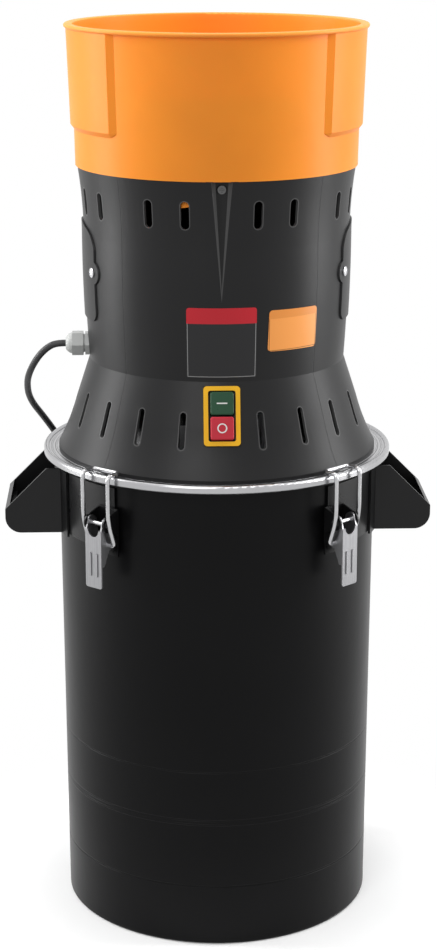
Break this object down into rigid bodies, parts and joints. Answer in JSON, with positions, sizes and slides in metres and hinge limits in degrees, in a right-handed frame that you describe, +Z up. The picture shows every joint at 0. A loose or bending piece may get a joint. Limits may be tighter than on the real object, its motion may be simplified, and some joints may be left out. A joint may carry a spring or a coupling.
{
  "type": "electric grain mill",
  "caption": "Upright electric grain mill: open feed hopper on a vented motor housing, latched by wire-bail toggles to a round meal bin with two side handles.",
  "frame": {"origin": "centre of the bin's foot, on the surface that it stands on", "axes": "+Z up, -Y the front with the switch, +X to the viewer's right"},
  "size_m": [0.374, 0.4098, 0.79],
  "materials": {
    "black_bin": "satin black paint",
    "bright_metal": "bright spun steel",
    "wire": "bright zinc-plated wire",
    "lever_steel": "satin plated steel",
    "black_steel": "black painted steel",
    "housing_plastic": "fine textured charcoal moulding",
    "handle_plastic": "black moulding",
    "hopper_plastic": "orange satin moulding",
    "gasket_rubber": "black rubber",
    "screw_steel": "bright screws",
    "switch_yellow": "yellow moulding",
    "switch_black": "black moulding",
    "button_green": "green moulding",
    "button_red": "crimson moulding",
    "cast_alloy": "cast alloy",
    "bearing_steel": "ground steel",
    "core_steel": "laminated steel",
    "copper": "lacquered copper wire",
    "brass": "brass",
    "carbon": "carbon",
    "shaft_steel": "turned steel",
    "fan_plastic": "black moulding",
    "screen_steel": "perforated steel",
    "chute_steel": "plain steel tube",
    "gland_plastic": "light grey nylon",
    "cord_sheath": "black cord sheath"
  },
  "bodies": {
    "mill": {"base_cap": "black_bin", "bin_shell": "black_bin", "lid_plate": "bright_metal", "rim_gasket": "gasket_rubber", "motor_housing": "housing_plastic", "left_brush_cover": "housing_plastic", "right_brush_cover": "housing_plastic", "cover_screws": "screw_steel", "hopper": "hopper_plastic", "hopper_screws": "screw_steel", "feed_chute": "chute_steel", "switch_frame": "switch_yellow", "switch_body": "switch_black", "lower_bracket": "cast_alloy", "upper_bracket": "cast_alloy", "lower_bearing": "bearing_steel", "upper_bearing": "bearing_steel", "motor_stator": "core_steel", "field_coils": "copper", "motor_bolts": "screw_steel", "brush_holders": "brass", "carbon_brushes": "carbon", "grinding_chamber": "cast_alloy", "sieve_screen": "screen_steel", "left_apron": "black_steel", "right_apron": "black_steel", "left_handle": "handle_plastic", "right_handle": "handle_plastic", "handle_screws": "screw_steel", "bracket_rivets": "black_steel", "latch_pins": "wire", "cord_gland": "gland_plastic", "gland_nut": "gland_plastic", "cord": "cord_sheath", "cord_coil": "cord_sheath", "plug": "cord_sheath", "plug_pins": "brass", "front_left_bracket": "black_steel", "front_right_bracket": "black_steel", "rear_left_bracket": "black_steel", "rear_right_bracket": "black_steel"},
    "rotor": {"motor_shaft": "shaft_steel", "armature_core": "core_steel", "armature_winding": "copper", "commutator": "copper", "cooling_fan": "fan_plastic", "grinding_blade": "shaft_steel", "blade_nut": "screw_steel"},
    "start_button": {"start_button": "button_green"},
    "stop_button": {"stop_button": "button_red"},
    "front_left_lever": {"front_left_lever": "lever_steel"},
    "front_left_bail": {"front_left_bail": "wire"},
    "front_right_lever": {"front_right_lever": "lever_steel"},
    "front_right_bail": {"front_right_bail": "wire"},
    "rear_left_lever": {"rear_left_lever": "lever_steel"},
    "rear_left_bail": {"rear_left_bail": "wire"},
    "rear_right_lever": {"rear_right_lever": "lever_steel"},
    "rear_right_bail": {"rear_right_bail": "wire"}
  },
  "joints": [
    {"name": "front_left_latch", "type": "hinge", "parent": "mill", "child": "front_left_lever", "pos_m": [-0.10405, -0.11556, 0.3825], "axis": [-0.7431, 0.6691, 0], "range_deg": [0, 150]},
    {"name": "front_left_hook", "type": "hinge", "parent": "front_left_lever", "child": "front_left_bail", "pos_m": [-0.10137, -0.11259, 0.364], "axis": [-0.7431, 0.6691, 0], "range_deg": [-190.5, 0]},
    {"name": "front_right_latch", "type": "hinge", "parent": "mill", "child": "front_right_lever", "pos_m": [0.10405, -0.11556, 0.3825], "axis": [-0.7431, -0.6691, 0], "range_deg": [0, 150]},
    {"name": "front_right_hook", "type": "hinge", "parent": "front_right_lever", "child": "front_right_bail", "pos_m": [0.10137, -0.11259, 0.364], "axis": [-0.7431, -0.6691, 0], "range_deg": [-190.5, 0]},
    {"name": "rear_left_latch", "type": "hinge", "parent": "mill", "child": "rear_left_lever", "pos_m": [-0.10405, 0.11556, 0.3825], "axis": [0.7431, 0.6691, 0], "range_deg": [0, 150]},
    {"name": "rear_left_hook", "type": "hinge", "parent": "rear_left_lever", "child": "rear_left_bail", "pos_m": [-0.10137, 0.11259, 0.364], "axis": [0.7431, 0.6691, 0], "range_deg": [-190.5, 0]},
    {"name": "rear_right_latch", "type": "hinge", "parent": "mill", "child": "rear_right_lever", "pos_m": [0.10405, 0.11556, 0.3825], "axis": [0.7431, -0.6691, 0], "range_deg": [0, 150]},
    {"name": "rear_right_hook", "type": "hinge", "parent": "rear_right_lever", "child": "rear_right_bail", "pos_m": [0.10137, 0.11259, 0.364], "axis": [0.7431, -0.6691, 0], "range_deg": [-190.5, 0]},
    {"name": "rotor_spin", "type": "hinge", "parent": "mill", "child": "rotor", "pos_m": [0, 0, 0.5], "axis": [0, 0, 1], "continuous": true},
    {"name": "start_button_press", "type": "slide", "parent": "mill", "child": "start_button", "axis": [0, 0.9511, -0.309], "range_m": [0, 0.003], "stiffness_N_per_m": 400, "springref_m": -0.001},
    {"name": "stop_button_press", "type": "slide", "parent": "mill", "child": "stop_button", "axis": [0, 0.9511, -0.309], "range_m": [0, 0.003], "stiffness_N_per_m": 400, "springref_m": -0.001}
  ],
  "couplings": [
    {"joint": "front_left_hook", "follows": "front_left_latch", "ratio": -1.27},
    {"joint": "front_right_hook", "follows": "front_right_latch", "ratio": -1.27},
    {"joint": "rear_left_hook", "follows": "rear_left_latch", "ratio": -1.27},
    {"joint": "rear_right_hook", "follows": "rear_right_latch", "ratio": -1.27}
  ]
}
